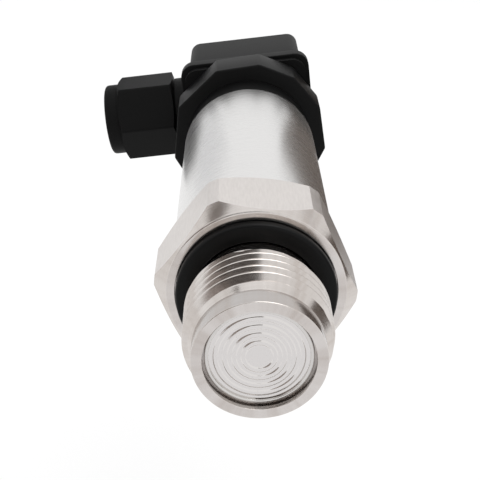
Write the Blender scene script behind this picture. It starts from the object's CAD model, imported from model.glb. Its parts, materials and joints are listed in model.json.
import bmesh
import bpy
import json
import math
from mathutils import Matrix, Vector


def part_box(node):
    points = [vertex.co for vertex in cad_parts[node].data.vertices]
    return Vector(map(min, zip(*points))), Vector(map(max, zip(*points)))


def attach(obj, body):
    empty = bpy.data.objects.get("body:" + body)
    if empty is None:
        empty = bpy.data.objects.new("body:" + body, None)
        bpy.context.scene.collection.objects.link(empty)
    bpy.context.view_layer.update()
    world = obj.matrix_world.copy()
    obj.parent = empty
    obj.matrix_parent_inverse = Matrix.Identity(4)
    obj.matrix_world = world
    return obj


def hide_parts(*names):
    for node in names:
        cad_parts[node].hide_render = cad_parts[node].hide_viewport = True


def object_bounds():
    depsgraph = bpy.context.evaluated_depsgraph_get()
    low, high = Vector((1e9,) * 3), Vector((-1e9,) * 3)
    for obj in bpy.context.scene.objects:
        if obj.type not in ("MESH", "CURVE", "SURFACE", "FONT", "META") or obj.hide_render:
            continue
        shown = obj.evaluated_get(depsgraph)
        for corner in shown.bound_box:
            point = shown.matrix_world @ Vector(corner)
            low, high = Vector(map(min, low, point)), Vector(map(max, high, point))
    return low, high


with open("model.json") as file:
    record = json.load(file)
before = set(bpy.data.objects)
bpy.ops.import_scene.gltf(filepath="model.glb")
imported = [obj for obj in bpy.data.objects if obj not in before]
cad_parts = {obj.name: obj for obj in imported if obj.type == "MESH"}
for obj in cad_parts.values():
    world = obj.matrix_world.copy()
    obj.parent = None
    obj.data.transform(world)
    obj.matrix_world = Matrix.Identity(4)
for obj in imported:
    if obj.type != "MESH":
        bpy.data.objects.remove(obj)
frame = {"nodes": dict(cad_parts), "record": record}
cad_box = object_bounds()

# ---------------------------------------------------------------------------------------------
# The process fitting: stainless steel turned and milled from hexagon bar. Its nose carries the
# thread, taken to be G1/2. Behind it come a relief, the groove and face of the seal, and the
# hexagon, and a spigot at the back centres the tube.

mm = 0.001


class Wire:
    """One output in a finish. Sums and products of wires add the nodes that work them out."""

    def __init__(self, finish, socket):
        self.finish = finish
        self.socket = socket

    def combined(self, operation, first, second):
        settings = {"operation": operation}
        return self.finish.node("ShaderNodeMath", settings, {0: first, 1: second})

    def __add__(self, other):
        return self.combined("ADD", self, other)

    def __sub__(self, other):
        return self.combined("SUBTRACT", self, other)

    def __rsub__(self, other):
        return self.combined("SUBTRACT", other, self)

    def __mul__(self, other):
        return self.combined("MULTIPLY", self, other)

    def __pow__(self, other):
        return self.combined("POWER", self, other)

    __radd__ = __add__
    __rmul__ = __mul__


class Finish:
    """A material, made node by node on one Principled shader."""

    def __init__(self, name, **constants):
        self.material = bpy.data.materials.new(name)
        self.material.use_nodes = True
        self.tree = self.material.node_tree
        self.shader = self.tree.nodes["Principled BSDF"]
        self.set(**constants)

    def node(self, kind, settings={}, inputs={}, output=0):
        made = self.tree.nodes.new(kind)
        for key, value in settings.items():
            setattr(made, key, value)
        for key, value in inputs.items():
            self.feed(made.inputs[key], value)
        return Wire(self, made.outputs[output])

    def feed(self, socket, value):
        if isinstance(value, Wire):
            self.tree.links.new(value.socket, socket)
        elif isinstance(value, tuple) and len(value) == 3 and socket.type == "RGBA":
            socket.default_value = (*value, 1)
        else:
            socket.default_value = value

    def set(self, **values):
        """Feeds the shader's sockets: base_color is Base Color, and so on."""
        for key, value in values.items():
            self.feed(self.shader.inputs[key.replace("_", " ").title().replace("Ior", "IOR")], value)

    def place(self):
        """Where a point lies on the part, in metres."""
        return self.node("ShaderNodeTexCoord", output="Object")

    def stretched(self, x, y, z):
        """The place, with each direction scaled."""
        settings = {"operation": "MULTIPLY"}
        return self.node("ShaderNodeVectorMath", settings, {0: self.place(), 1: (x, y, z)})

    def axes(self):
        """The place's x, y and z."""
        return [self.node("ShaderNodeSeparateXYZ", {}, {0: self.place()}, axis) for axis in "XYZ"]

    def flat_place(self):
        """The place with its y left out: it points straight away from the part's axis."""
        settings = {"operation": "MULTIPLY"}
        return self.node("ShaderNodeVectorMath", settings, {0: self.place(), 1: (1, 0, 1)})

    def above(self, value, limit):
        """1 where the value is above the limit, else 0."""
        return self.node("ShaderNodeMath", {"operation": "GREATER_THAN"}, {0: value, 1: limit})

    def noise(self, vector, detail=2.0, scale=1.0):
        return self.node("ShaderNodeTexNoise", {}, {"Vector": vector, "Scale": scale, "Detail": detail})

    def blend(self, factor, first, second):
        """A mix of two colours."""
        inputs = {0: factor, 6: first, 7: second}
        return self.node("ShaderNodeMix", {"data_type": "RGBA"}, inputs, 2)

    def relief(self, height, strength, depth):
        """A bump from a height between 0 and 1, depth metres deep."""
        inputs = {"Strength": strength, "Distance": depth, "Height": height}
        self.set(normal=self.node("ShaderNodeBump", {}, inputs))


def circle(radius, y, turns):
    """Points round the Y axis at the given angles, from +Z towards +X. radius may be a function."""
    size = radius if callable(radius) else lambda turn: radius
    height = y if callable(y) else lambda turn: y
    return [Vector((size(t) * math.sin(t), height(t), size(t) * math.cos(t))) for t in turns]


def even_turns(count):
    return [2 * math.pi * k / count for k in range(count)]


def skin(mesh, rings):
    """Faces between rings of points that have as many points each."""
    rows = [[mesh.verts.new(point) for point in ring] for ring in rings]
    for row, following in zip(rows, rows[1:]):
        for k in range(len(row)):
            corners = (row[k - 1], row[k], following[k], following[k - 1])
            mesh.faces.new(corners)


def piece(name, mesh, finish, body, stands_for, sharp_above=35):
    """Closes a mesh's seams, keeps its edges crisp above an angle, and mounts it on its body."""
    bmesh.ops.remove_doubles(mesh, verts=mesh.verts, dist=1e-7)
    bmesh.ops.dissolve_degenerate(mesh, dist=1e-8, edges=mesh.edges)
    bmesh.ops.recalc_face_normals(mesh, faces=mesh.faces)
    for face in mesh.faces:
        face.smooth = True
    for edge in mesh.edges:
        if len(edge.link_faces) == 2:
            edge.smooth = edge.calc_face_angle(0) < math.radians(sharp_above)
    data = bpy.data.meshes.new(name)
    mesh.to_mesh(data)
    mesh.free()
    data.materials.append(finish.material)
    made = bpy.data.objects.new(name, data)
    bpy.context.scene.collection.objects.link(made)
    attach(made, body)
    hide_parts(stands_for)
    return made


def eased(corners, steps=4):
    """The (radius, y) points of an outline whose corners are (radius, y, rounding)."""
    points = []
    for k, (radius, y, rounding) in enumerate(corners):
        here = Vector((radius, y))
        if rounding and 0 < k < len(corners) - 1:
            before = Vector(corners[k - 1][:2]) - here
            after = Vector(corners[k + 1][:2]) - here
            first = here + before.normalized() * rounding
            last = here + after.normalized() * rounding
            for step in range(steps + 1):
                t = step / steps
                points.append(first * (1 - t) ** 2 + here * 2 * t * (1 - t) + last * t * t)
        else:
            points.append(here)
    return points


def lathe(mesh, corners, turns):
    skin(mesh, [circle(point.x, point.y, turns) for point in eased(corners)])


nose_front, hex_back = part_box("process_connection")[0].y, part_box("housing_tube")[0].y
nose_radius = 9.075 * mm
window_radius = 7.58 * mm
lip_radius, lip_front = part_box("diaphragm")[1].x + 0.02 * mm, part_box("diaphragm")[1].y
shoulder = nose_front + 2.5 * mm
thread_front, thread_back = nose_front + 3.2 * mm, nose_front + 13.3 * mm
pitch, thread_round, flank_angle = 1.814 * mm, 0.18 * mm, math.radians(27.5)
crest_radius = 10.42 * mm
sharp_depth = pitch / 2 / math.tan(flank_angle)
rounded_off = 2 * thread_round * (1 / math.sin(flank_angle) - 1)
root_radius = crest_radius - sharp_depth + rounded_off
first_crest = -6.94 * mm
lead_in_slope, run_out_slope = 0.85, 1.4
thread_steps = 28
relief_radius = 9.05 * mm
groove_radius, groove_depth = 11.95 * mm, 1.1 * mm
face_radius = 13.2 * mm
flat_distance = 13.5 * mm
corner_radius = 15.1 * mm
chamfer_angle = math.radians(43)
chamfer_slope = math.tan(chamfer_angle)
face_rounding = 0.25 * mm
chamfer_start = face_radius + face_rounding * math.cos(chamfer_angle)
chamfer_rise = (chamfer_start - face_radius) * chamfer_slope
spigot_radius, spigot_end = 11.48 * mm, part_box("process_connection")[1].y
capsule_bore_radius = 8.1 * mm


def thread_radius(turn, y):
    """A Whitworth form with rounded crests, cut back by a lead-in cone and a run-out."""
    phase = ((y - first_crest) / pitch - turn / (2 * math.pi)) % 1
    off_crest = pitch * min(phase, 1 - phase)
    off_root = pitch / 2 - off_crest
    round_width = thread_round * math.cos(flank_angle)
    if off_crest < round_width:
        radius = crest_radius - thread_round + math.sqrt(thread_round ** 2 - off_crest ** 2)
    elif off_root < round_width:
        radius = root_radius + thread_round - math.sqrt(thread_round ** 2 - off_root ** 2)
    else:
        flank_top = crest_radius - thread_round * (1 - math.sin(flank_angle))
        radius = flank_top - (off_crest - round_width) / math.tan(flank_angle)
    lead_in = nose_radius + (y - thread_front) * lead_in_slope
    run_out = relief_radius + (thread_back - y) * run_out_slope
    return max(min(radius, lead_in, run_out), relief_radius)


def helix_row(count):
    """Points along the thread's helix, count steps of it behind the first crest, open at the seam."""
    row = []
    for turn in hex_turns + [hex_turns[0] + 2 * math.pi]:
        y = first_crest + pitch * (count / thread_steps + turn / (2 * math.pi))
        y = min(max(y, thread_front), thread_back)
        radius = thread_radius(turn, y)
        row.append(Vector((radius * math.sin(turn), y, radius * math.cos(turn))))
    return row


def hexagon_turns(flat, corner, flat_steps=28, corner_steps=4):
    """Angles round a hexagon with +Z on a flat, exact where flats meet the turned corners."""
    half = math.acos(flat / corner)
    angles = []
    for side in range(6):
        middle = side * math.pi / 3
        angles += [middle + half * (2 * step / flat_steps - 1) for step in range(flat_steps + 1)]
        between = math.pi / 3 - 2 * half
        angles += [middle + half + between * step / corner_steps for step in range(1, corner_steps)]
    return angles


def hexagon_radius(flat, corner):
    """The distance to the hexagon's side at an angle, no further than its turned corner."""
    def at(turn):
        off = (turn + math.pi / 6) % (math.pi / 3) - math.pi / 6
        return min(flat / math.cos(off), corner)
    return at


steel = Finish("turned_stainless", metallic=1.0)
mask_margin = 0.03 * mm
x, y, z = steel.axes()
radius = steel.node("ShaderNodeMath", {"operation": "SQRT"}, {0: x * x + z * z})
behind_chamfer = steel.above(y - (radius - face_radius) * chamfer_slope, mask_margin)
before_chamfer = steel.above(hex_back - y - (radius - face_radius) * chamfer_slope, mask_margin)
milled = behind_chamfer * before_chamfer * steel.above(radius, face_radius)
lines = steel.noise(steel.stretched(60, 7000, 60), 3.0)
grain = steel.noise(steel.stretched(3500, 500, 3500), 4.0)
cloud = steel.noise(steel.stretched(260, 260, 260))
turned_colour = steel.blend(lines, (0.66, 0.63, 0.61), (0.78, 0.745, 0.72))
milled_colour = steel.blend(grain, (0.60, 0.565, 0.545), (0.75, 0.715, 0.69))
nose_colour = steel.blend(lines, (0.47, 0.45, 0.44), (0.58, 0.56, 0.55))
nose_side = steel.above(y, nose_front + 0.1 * mm) - steel.above(y, thread_front)
outward = steel.node("ShaderNodeVectorMath", {"operation": "NORMALIZE"}, {0: steel.flat_place()})
streaks = steel.noise(outward, 5.0, 3.0)
turned_colour = steel.blend(nose_side, turned_colour, nose_colour)
turned_colour = steel.blend(streaks ** 3 * 2.2, turned_colour, (0.42, 0.36, 0.32))
steel.set(
    base_color=steel.blend(milled, turned_colour, milled_colour),
    roughness=0.13 + cloud * 0.1 + milled * 0.2,
)
steel.relief(lines + milled * (grain - lines), 0.22, 0.02 * mm)

hex_turns = hexagon_turns(flat_distance, corner_radius)
hex_radius = hexagon_radius(flat_distance, corner_radius)
fitting = bmesh.new()
# A lip level with the foil's back narrows the bore to the foil's rim, so no dark gap shows there.
lathe(fitting, [
    (lip_radius, shoulder, 0),
    (lip_radius, lip_front, 0),
    (window_radius, lip_front, 0),
    (window_radius, nose_front, 0.15 * mm),
    (nose_radius, nose_front, 0.15 * mm),
    (nose_radius, thread_front, 0),
], hex_turns)
ahead = math.ceil((first_crest - thread_front) / pitch) + 1
behind = math.ceil((thread_back - first_crest) / pitch)
counts = range(-ahead * thread_steps, behind * thread_steps + 1)
helix = [[fitting.verts.new(point) for point in helix_row(count)] for count in counts]
for row, following in zip(helix, helix[1:]):
    for k in range(len(hex_turns)):
        fitting.faces.new((row[k], row[k + 1], following[k + 1], following[k]))
lathe(fitting, [
    (relief_radius, thread_back, 0),
    (relief_radius, groove_depth, 0),
    (groove_radius, groove_depth, 0),
    (groove_radius, 0, 0.08 * mm),
    (face_radius, 0, face_rounding),
    (chamfer_start, chamfer_rise, 0),
], hex_turns)
skin(fitting, [
    circle(chamfer_start, chamfer_rise, hex_turns),
    circle(hex_radius, lambda turn: (hex_radius(turn) - face_radius) * chamfer_slope, hex_turns),
    circle(hex_radius, lambda turn: hex_back - (hex_radius(turn) - face_radius) * chamfer_slope, hex_turns),
    circle(face_radius, hex_back, hex_turns),
    circle(spigot_radius, hex_back, hex_turns),
    circle(spigot_radius, spigot_end, hex_turns),
    circle(capsule_bore_radius, spigot_end, hex_turns),
    circle(capsule_bore_radius, shoulder, hex_turns),
    circle(lip_radius, shoulder, hex_turns),
])
fitting = piece("process_fitting", fitting, steel, "transmitter", "process_connection", 25)

# ---------------------------------------------------------------------------------------------
# The sealing collar: a moulded ring of black elastomer pressed into the groove of the sealing
# face, with a rounded outer edge that stands proud of the steel.

turns = even_turns(240)
seal_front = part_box("process_seal")[0].y
seal_inner, seal_outer = 9.15 * mm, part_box("process_seal")[1].x
black_rubber = Finish("seal_rubber", base_color=(0.004, 0.004, 0.004), roughness=0.3, specular_ior_level=0.12)
black_rubber.relief(black_rubber.noise(black_rubber.stretched(2500, 2500, 2500)), 0.1, 0.02 * mm)
seal = bmesh.new()
lathe(seal, [
    (seal_inner, groove_depth, 0),
    (seal_inner, seal_front, 0.25 * mm),
    (seal_outer, seal_front, 0.6 * mm),
    (seal_outer, groove_depth, 0),
    (seal_inner, groove_depth, 0),
], turns)
seal = piece("sealing_collar", seal, black_rubber, "transmitter", "process_seal")

# ---------------------------------------------------------------------------------------------
# The measuring diaphragm: stainless foil pressed into soft concentric waves and bright as a
# mirror. It closes the front of the oil-filled steel capsule, which is behind it.

foil_thickness = 0.1 * mm
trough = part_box("diaphragm")[1].y - foil_thickness
rim_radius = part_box("diaphragm")[1].x
wave_start, wave_end, wave_count = 1.525 * mm, 6.405 * mm, 4
wave_depth, wave_squareness = 0.12 * mm, 1.9

foil = Finish("diaphragm_foil", metallic=1.0, base_color=(0.72, 0.695, 0.68), roughness=0.08)
foil.relief(foil.noise(foil.stretched(300, 300, 300), 3.0), 0.2, 0.03 * mm)


def wave(radius):
    """The height of the foil at a radius: crests stand towards the process."""
    share = (radius - wave_start) / (wave_end - wave_start)
    if share <= 0 or share >= 1:
        return trough
    swing = math.cos(2 * math.pi * wave_count * share)
    swing = math.tanh(wave_squareness * swing) / math.tanh(wave_squareness)
    return trough - wave_depth / 2 * (1 - swing)


foil_mesh = bmesh.new()
steps = 200
radii = [rim_radius * k / steps for k in range(steps + 1)]
front_rings = [circle(r, wave(r), turns) for r in radii]
back_rings = [circle(r, wave(r) + foil_thickness, turns) for r in radii[::-4]]
skin(foil_mesh, front_rings + back_rings)
foil_piece = piece("measuring_diaphragm", foil_mesh, foil, "transmitter", "diaphragm", 89)

# ---------------------------------------------------------------------------------------------
# The clamping ring: a narrow ring of the capsule's steel with a crowned front, welded over the
# foil's rim, which it holds on the capsule.

ring_width, ring_height, ring_crown = 0.57 * mm, 0.36 * mm, 0.22 * mm
capsule_steel = Finish("capsule_steel", metallic=1.0, base_color=(0.66, 0.64, 0.62), roughness=0.12)
capsule_steel.relief(capsule_steel.noise(capsule_steel.stretched(900, 900, 900)), 0.08, 0.02 * mm)
weld = bmesh.new()
lathe(weld, [
    (rim_radius - ring_width, trough, 0),
    (rim_radius - ring_width, trough - ring_height, ring_crown),
    (rim_radius, trough - ring_height, ring_crown),
    (rim_radius, trough, 0),
    (rim_radius - ring_width, trough, 0),
], turns)
weld = piece("clamping_ring", weld, capsule_steel, "transmitter", "weld_ring", 60)

# ---------------------------------------------------------------------------------------------
# The housing tube: drawn stainless tube, ground round its outside to a fine satin, its edges
# broken, welded to the back of the hexagon.

tube_low, tube_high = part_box("housing_tube")
tube_wall, tube_chamfer = 1.25 * mm, 0.25 * mm
satin = Finish("brushed_tube", metallic=1.0)
grind = satin.noise(satin.stretched(80, 12000, 80), 3.0)
satin.relief(grind, 0.10, 0.02 * mm)
satin.set(
    roughness=0.22 + grind * 0.1,
    base_color=satin.blend(grind, (0.70, 0.695, 0.69), (0.80, 0.79, 0.78)),
)
tube = bmesh.new()
lathe(tube, [
    (tube_high.x - tube_wall, tube_low.y, 0),
    (tube_high.x, tube_low.y, tube_chamfer),
    (tube_high.x, tube_high.y, tube_chamfer),
    (tube_high.x - tube_wall, tube_high.y, 0),
    (tube_high.x - tube_wall, tube_low.y, 0),
], turns)
tube = piece("steel_tube", tube, satin, "transmitter", "housing_tube")

# ---------------------------------------------------------------------------------------------
# The connector base: black moulded plastic, with a spigot in the tube, a round neck and a
# many-sided flange with broken edges. The four contacts and the brass bush are moulded in.

base_low, base_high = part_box("connector_base")
spigot_inner, spigot_outer = 9.7 * mm, 11.45 * mm
neck_radius, neck_end = 12.3 * mm, tube_high.y + 6.4 * mm
flange_back = neck_end + 7.9 * mm
flange_radius, flange_edge = 15.7 * mm, 0.4 * mm
plug_turn = math.radians(12.1)
flange_middle = math.radians(148.2)
flange_spread = (40.0, 72.0, 99.5, 129.5, 162.0)  # corners to each side of the middle one, degrees
pad_width, pad_corner = 20.6 * mm, 4.5 * mm
plug_frame = Matrix.Rotation(-plug_turn, 4, "Y")

base_plastic = Finish("base_plastic", base_color=(0.004, 0.004, 0.004))
base_plastic.set(roughness=0.45, specular_ior_level=0.1)
base_plastic.relief(base_plastic.noise(base_plastic.stretched(5000, 5000, 5000)), 0.15, 0.02 * mm)


def rounded_rectangle(centre_x, width, height, corner, y, steps=9):
    """A ring of points at y: a rectangle in X and Z with round corners."""
    ring = []
    for quarter in range(4):
        side_x = 1 if quarter in (0, 1) else -1
        side_z = 1 if quarter in (0, 3) else -1
        middle_x = centre_x + side_x * (width / 2 - corner)
        middle_z = side_z * (height / 2 - corner)
        for step in range(steps):
            turn = math.pi / 2 * (quarter + step / (steps - 1))
            ring.append(Vector((middle_x + corner * math.sin(turn), y, middle_z + corner * math.cos(turn))))
    return ring


def capped(mesh, ring):
    mesh.faces.new([mesh.verts.new(point) for point in ring])


base = bmesh.new()
lathe(base, [
    (spigot_inner, base_low.y, 0),
    (spigot_outer, base_low.y, 0.2 * mm),
    (spigot_outer, tube_high.y, 0),
    (neck_radius, tube_high.y, 0),
    (neck_radius, neck_end, 0),
    (spigot_inner, neck_end, 0),
    (spigot_inner, base_low.y, 0),
], turns)
spread = sorted([0.0] + [side * angle for angle in flange_spread for side in (1, -1)])
corners = [flange_middle + math.radians(angle) for angle in spread]
prism = [(flange_radius * math.cos(a), flange_radius * math.sin(a)) for a in corners]
flange = bmesh.new()
front = [flange.verts.new((x, neck_end, z)) for x, z in prism]
back = [flange.verts.new((x, flange_back, z)) for x, z in prism]
flange.faces.new(front)
flange.faces.new(back[::-1])
for k in range(len(front)):
    flange.faces.new((front[k - 1], back[k - 1], back[k], front[k]))
bmesh.ops.bevel(flange, geom=flange.edges[:], offset=flange_edge, segments=3, affect="EDGES", profile=0.6)
carrier = bpy.data.meshes.new("flange")
flange.to_mesh(carrier)
flange.free()
carrier.transform(plug_frame)
base.from_mesh(carrier)
pad = [rounded_rectangle(0, pad_width, pad_width, pad_corner, y) for y in (flange_back, base_high.y)]
skin(base, [[plug_frame @ point for point in ring] for ring in pad])
for ring in pad:
    capped(base, [plug_frame @ point for point in ring])
base = piece("connector_base_moulding", base, base_plastic, "transmitter", "connector_base")

# ---------------------------------------------------------------------------------------------
# The plug: a black moulded shell with a wide skirt, a narrower block, and a round boss for the
# cable gland. A recess in its top holds the fixing screw.

plug_low, plug_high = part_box("plug_housing")
skirt_end = plug_low.y + 3.4 * mm
plug_shift = 0.52 * mm
skirt_width, skirt_height, skirt_corner = 26.5 * mm, 27.8 * mm, 2.8 * mm
block_width, block_height, block_corner = 23.64 * mm, 25.6 * mm, 2.2 * mm
soft_edge, rim_edge, recess_edge = 0.9 * mm, 0.15 * mm, 0.2 * mm
step_fillet, smallest_corner = 0.35 * mm, 0.3 * mm
shell_wall, shell_roof = 1.2 * mm, 1.5 * mm
recess_radius, recess_depth, screw_hole = 3.6 * mm, 2.6 * mm, 1.7 * mm
gland_axis_y = plug_low.y + 12.2 * mm
boss_start, boss_radius, boss_end = 9 * mm, 7.5 * mm, 15.4 * mm
gland_thread_radius, gland_thread_end = 5.8 * mm, 25 * mm
cable_radius, seat_radius, seat_depth = 4 * mm, 4.95 * mm, 17 * mm

plug_plastic = Finish("plug_plastic", base_color=(0.005, 0.005, 0.005))
plug_plastic.set(roughness=0.5, specular_ior_level=0.07)
plug_plastic.relief(plug_plastic.noise(plug_plastic.stretched(6000, 6000, 6000), 3.0), 0.2, 0.02 * mm)


def shell_ring(inset, y, width, height, corner):
    corner = max(corner - inset, smallest_corner)
    return rounded_rectangle(plug_shift, width - 2 * inset, height - 2 * inset, corner, y)


def skirt_ring(inset, y):
    return shell_ring(inset, y, skirt_width, skirt_height, skirt_corner)


def block_ring(inset, y):
    return shell_ring(inset, y, block_width, block_height, block_corner)


def rolled(ring, y, edge, steps=5):
    """Rings round a soft top edge that ends at y."""
    bends = [math.pi / 2 * k / steps for k in range(steps + 1)]
    return [ring(edge * (1 - math.cos(b)), y - edge * (1 - math.sin(b))) for b in bends]


def hole_ring(radius, y):
    """A circle at y whose points line up with those of a shell ring."""
    guide = block_ring(0, y)
    turns = [math.atan2(point.x, point.z) for point in guide]
    return circle(radius, y, turns)


def across(ring):
    """Turns a shape that was made round the Y axis onto the gland's axis, out of the -X side."""
    turned = Matrix.Translation((0, gland_axis_y, 0)) @ Matrix.Rotation(math.pi / 2, 4, "Z")
    return [turned @ point for point in ring]


shell = bmesh.new()
roof = skirt_end - shell_wall
recess_floor = plug_high.y - recess_depth
skirt_rings = [
    hole_ring(screw_hole, recess_floor),
    hole_ring(screw_hole, recess_floor - shell_roof),
    hole_ring(recess_radius + shell_wall, recess_floor - shell_roof),
    hole_ring(recess_radius + shell_wall, plug_high.y - shell_roof),
    block_ring(shell_wall, plug_high.y - shell_roof),
    block_ring(shell_wall, roof),
]
skirt_rings += [skirt_ring(shell_wall, roof), skirt_ring(shell_wall, plug_low.y)]
skirt_rings += [skirt_ring(rim_edge, plug_low.y), skirt_ring(0, plug_low.y + rim_edge)]
skirt_rings += rolled(skirt_ring, skirt_end, soft_edge)
skirt_rings += [block_ring(-step_fillet, skirt_end), block_ring(0, skirt_end + step_fillet)]
skirt_rings += rolled(block_ring, plug_high.y, soft_edge)
skirt_rings += [
    hole_ring(recess_radius + recess_edge, plug_high.y),
    hole_ring(recess_radius, plug_high.y - recess_edge),
    hole_ring(recess_radius, recess_floor),
    hole_ring(screw_hole, recess_floor),
]
skin(shell, skirt_rings)
boss = eased([
    (cable_radius, boss_start, 0),
    (boss_radius, boss_start, 0),
    (boss_radius, boss_end, 0.3 * mm),
    (gland_thread_radius, boss_end, 0),
    (gland_thread_radius, gland_thread_end, 0),
    (seat_radius, gland_thread_end, 0),
    (seat_radius, seat_depth, 0),
    (cable_radius, seat_depth, 0),
    (cable_radius, boss_start, 0),
])
skin(shell, [across(circle(point.x, point.y, turns)) for point in boss])
bmesh.ops.transform(shell, matrix=plug_frame, verts=shell.verts)
shell = piece("plug_shell", shell, plug_plastic, "plug", "plug_housing")

# ---------------------------------------------------------------------------------------------
# The cable gland's cap nut: moulded in the same black plastic, a hexagon with a round collar at
# the mouth that a cable goes into. It screws over the end of the boss.

nut_flat, nut_start, nut_hex_end, nut_end = 8.0 * mm, 15.7 * mm, 27.8 * mm, 30.8 * mm
nut_corner = nut_flat / math.cos(math.pi / 6) * 0.995
collar_radius, mouth_radius, mouth_start = 7.6 * mm, 3.5 * mm, 25.8 * mm
nut_bore, mouth_edge = 5.85 * mm, 0.5 * mm
inner_slope, outer_slope = 0.3, 0.5
nut_turns = hexagon_turns(nut_flat, nut_corner)
nut_side = hexagon_radius(nut_flat, nut_corner)
nut = bmesh.new()
rings = [
    circle(nut_bore, nut_start, nut_turns),
    circle(nut_flat, nut_start, nut_turns),
    circle(nut_side, lambda turn: nut_start + (nut_side(turn) - nut_flat) * inner_slope, nut_turns),
    circle(nut_side, lambda turn: nut_hex_end - (nut_side(turn) - nut_flat) * outer_slope, nut_turns),
    circle(nut_flat, nut_hex_end, nut_turns),
]
rings += [circle(point.x, point.y, nut_turns) for point in eased([
    (collar_radius, nut_hex_end, 0),
    (collar_radius, nut_end, 0.8 * mm),
    (mouth_radius + mouth_edge, nut_end, 0),
    (mouth_radius, nut_end - mouth_edge, 0),
    (mouth_radius, mouth_start, 0),
    (nut_bore, mouth_start, 0),
    (nut_bore, nut_start, 0),
])]
skin(nut, [across(ring) for ring in rings])
bmesh.ops.transform(nut, matrix=plug_frame, verts=nut.verts)
nut = piece("gland_cap_nut", nut, plug_plastic, "gland_nut", "gland_nut")

# ---------------------------------------------------------------------------------------------
# The gaskets, screws, contacts, bush and capsule, and the electronics inside: these keep the
# shapes of the solids, and each gets the finish of what it is made of.

gasket_rubber = Finish("gasket_rubber", base_color=(0.004, 0.004, 0.004))
gasket_rubber.set(roughness=0.6, specular_ior_level=0.1)
gasket_rubber.relief(gasket_rubber.noise(gasket_rubber.stretched(3000, 3000, 3000)), 0.2, 0.02 * mm)
tin = Finish("tinned_copper", metallic=1.0, base_color=(0.70, 0.68, 0.64), roughness=0.3)
tin.relief(tin.noise(tin.stretched(1500, 1500, 1500)), 0.1, 0.02 * mm)
zinc = Finish("screw_steel", metallic=1.0, base_color=(0.66, 0.66, 0.66), roughness=0.28)
zinc.relief(zinc.noise(zinc.stretched(2000, 2000, 2000)), 0.15, 0.02 * mm)
brass = Finish("brass_insert", metallic=1.0, base_color=(0.72, 0.52, 0.24), roughness=0.25)
brass.relief(brass.noise(brass.stretched(60, 6000, 60)), 0.1, 0.02 * mm)
gold = Finish("gold_contact", metallic=1.0, base_color=(0.83, 0.60, 0.24), roughness=0.2)
gold.relief(gold.noise(gold.stretched(2000, 2000, 2000)), 0.1, 0.01 * mm)
grey_plastic = Finish("carrier_plastic", base_color=(0.22, 0.22, 0.22), roughness=0.5)
grey_plastic.relief(grey_plastic.noise(grey_plastic.stretched(4000, 4000, 4000)), 0.2, 0.02 * mm)
board = Finish("circuit_board", base_color=(0.02, 0.16, 0.06), roughness=0.35)
tracks = board.noise(board.stretched(900, 200, 900))
board.set(base_color=board.blend(tracks, (0.015, 0.13, 0.05), (0.04, 0.24, 0.09)))
chips = Finish("component_plastic", base_color=(0.025, 0.025, 0.025), roughness=0.5)
chips.relief(chips.noise(chips.stretched(5000, 5000, 5000)), 0.15, 0.02 * mm)
film = Finish("ribbon_film", base_color=(0.45, 0.20, 0.04), roughness=0.3)
strands = film.noise(film.stretched(1200, 40, 40))
film.set(base_color=film.blend(strands, (0.36, 0.15, 0.03), (0.52, 0.26, 0.07)))
silicon = Finish("silicon", base_color=(0.10, 0.11, 0.14), roughness=0.12)
silicon.relief(silicon.noise(silicon.stretched(3000, 3000, 3000)), 0.05, 0.01 * mm)

finishes = {
    "seal_rubber": black_rubber, "gasket_rubber": gasket_rubber, "capsule_steel": capsule_steel,
    "tinned_copper": tin, "screw_steel": zinc, "brass_insert": brass, "gold_contact": gold,
    "carrier_plastic": grey_plastic, "circuit_board": board, "component_plastic": chips,
    "ribbon_film": film, "silicon": silicon, "base_plastic": base_plastic,
    "plug_plastic": plug_plastic, "turned_stainless": steel, "brushed_tube": satin,
    "diaphragm_foil": foil,
}
for part in frame["record"]["subparts"]:
    data = frame["nodes"][part["node"]].data
    data.materials.clear()
    data.materials.append(finishes[part["material_slot"]].material)

# ---------------------------------------------------------------------------------------------
# The studio: a white table well under the part, white all round, and one soft light above. Eight
# plain cards, which show only in reflections, give the polished steel something to mirror.

table_height = cad_box[0].z - 0.08


def card(name, centre, facing, width, height, finish):
    """A flat sheet of the studio, facing the given way."""
    sheet = bmesh.new()
    corners = [(-1, -1), (1, -1), (1, 1), (-1, 1)]
    sheet.faces.new([sheet.verts.new((x * width / 2, y * height / 2, 0)) for x, y in corners])
    data = bpy.data.meshes.new(name)
    sheet.to_mesh(data)
    sheet.free()
    data.materials.append(finish.material)
    made = bpy.data.objects.new(name, data)
    turned = Vector(facing).to_track_quat("Z", "Y").to_matrix().to_4x4()
    made.matrix_world = Matrix.Translation(centre) @ turned
    bpy.context.scene.collection.objects.link(made)
    return made


table_glow = 0.7
white = Finish("white_table", base_color=(0.95, 0.95, 0.95), roughness=0.9)
path = {name: white.node("ShaderNodeLightPath", {}, {}, name) for name in (
    "Is Camera Ray", "Is Glossy Ray", "Is Transmission Ray")}
seen = path["Is Camera Ray"] + path["Is Glossy Ray"] + path["Is Transmission Ray"]
glow = white.node("ShaderNodeEmission", {}, {"Color": (1.0, 1.0, 1.0), "Strength": 1.0})
# Looked at or mirrored, the table is mostly an even glow. The rest of it is lit and takes shadows.
lit = Wire(white, white.shader.outputs[0])
mixed = white.node("ShaderNodeMixShader", {}, {0: seen * table_glow, 1: lit, 2: glow})
white.tree.links.new(mixed.socket, white.tree.nodes["Material Output"].inputs["Surface"])
card("table", Vector((0, 0.04, table_height)), (0, 0, 1), 4, 4, white)

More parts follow.
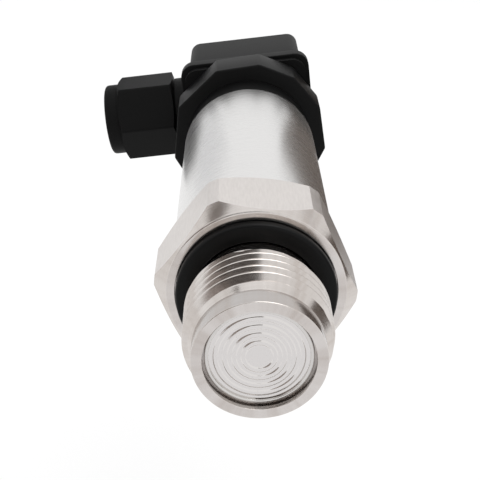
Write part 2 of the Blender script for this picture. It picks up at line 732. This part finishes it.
brown = Finish("brown_card", base_color=(0.11, 0.085, 0.07), roughness=0.9)
tan = Finish("tan_card", base_color=(0.30, 0.26, 0.24), roughness=0.9)
dark = Finish("dark_card", base_color=(0.05, 0.04, 0.035), roughness=0.9)
grey = Finish("grey_card", base_color=(0.80, 0.80, 0.81), roughness=0.9)
card_sheets = [
    card("back_card", Vector((0.11, 0.125, 0.003)), (0, -1, 0), 0.16, 0.09, brown),
    card("front_card", Vector((-0.0465, -0.125, 0.073)), (0, 1, 0), 0.107, 0.055, dark),
    card("low_card", Vector((-0.065, -0.125, 0.01)), (0, 1, 0), 0.07, 0.075, tan),
    card("right_card", Vector((0.15, -0.042, 0.02)), (-1, 0, 0), 0.075, 0.1, brown),
    card("high_left_card", Vector((-0.17, -0.14, 0.2)), (0.58, 0.47, -0.66), 0.05, 0.12, brown),
    card("high_right_card", Vector((0.2, -0.125, 0.18)), (-0.66, 0.42, -0.61), 0.03, 0.12, grey),
    card("left_card", Vector((-0.055, 0.125, 0.025)), (0, -1, 0), 0.045, 0.045, grey),
    card("floor_card", Vector((0.01, -0.2, -0.09)), (0, 0, 1), 0.3, 0.22, grey),
]
for sheet in card_sheets:
    sheet.visible_camera = False
    sheet.visible_shadow = False
    sheet.visible_diffuse = False

world = bpy.data.worlds.new("studio")
world.use_nodes = True
bpy.context.scene.world = world
world.node_tree.nodes["Background"].inputs["Color"].default_value = (1, 1, 1, 1)
world.node_tree.nodes["Background"].inputs["Strength"].default_value = 1.0


def lamp(name, place, aim, size, power):
    data = bpy.data.lights.new(name, "AREA")
    data.size = size
    data.energy = power
    made = bpy.data.objects.new(name, data)
    made.location = place
    made.rotation_euler = (Vector(aim) - Vector(place)).to_track_quat("-Z", "Y").to_euler()
    bpy.context.scene.collection.objects.link(made)


lamp("softbox", (0.1, 0.1, 0.6), (0, 0.03, 0), 0.4, 1.0)

camera_place = Vector((-10.563, -126.096, 71.689)) * mm
looking = Vector((0.05182, 0.89290, -0.44726))
lean = math.radians(-6.2335)
camera = bpy.data.objects.new("camera", bpy.data.cameras.new("camera"))
camera.data.lens = 74.4
camera.data.sensor_width = 36
camera.data.clip_start = 0.01
camera.matrix_world = (Matrix.Translation(camera_place)
                       @ looking.to_track_quat("-Z", "Y").to_matrix().to_4x4()
                       @ Matrix.Rotation(-lean, 4, "Z"))
bpy.context.scene.collection.objects.link(camera)
bpy.context.scene.camera = camera
bpy.context.scene.view_settings.view_transform = "Standard"
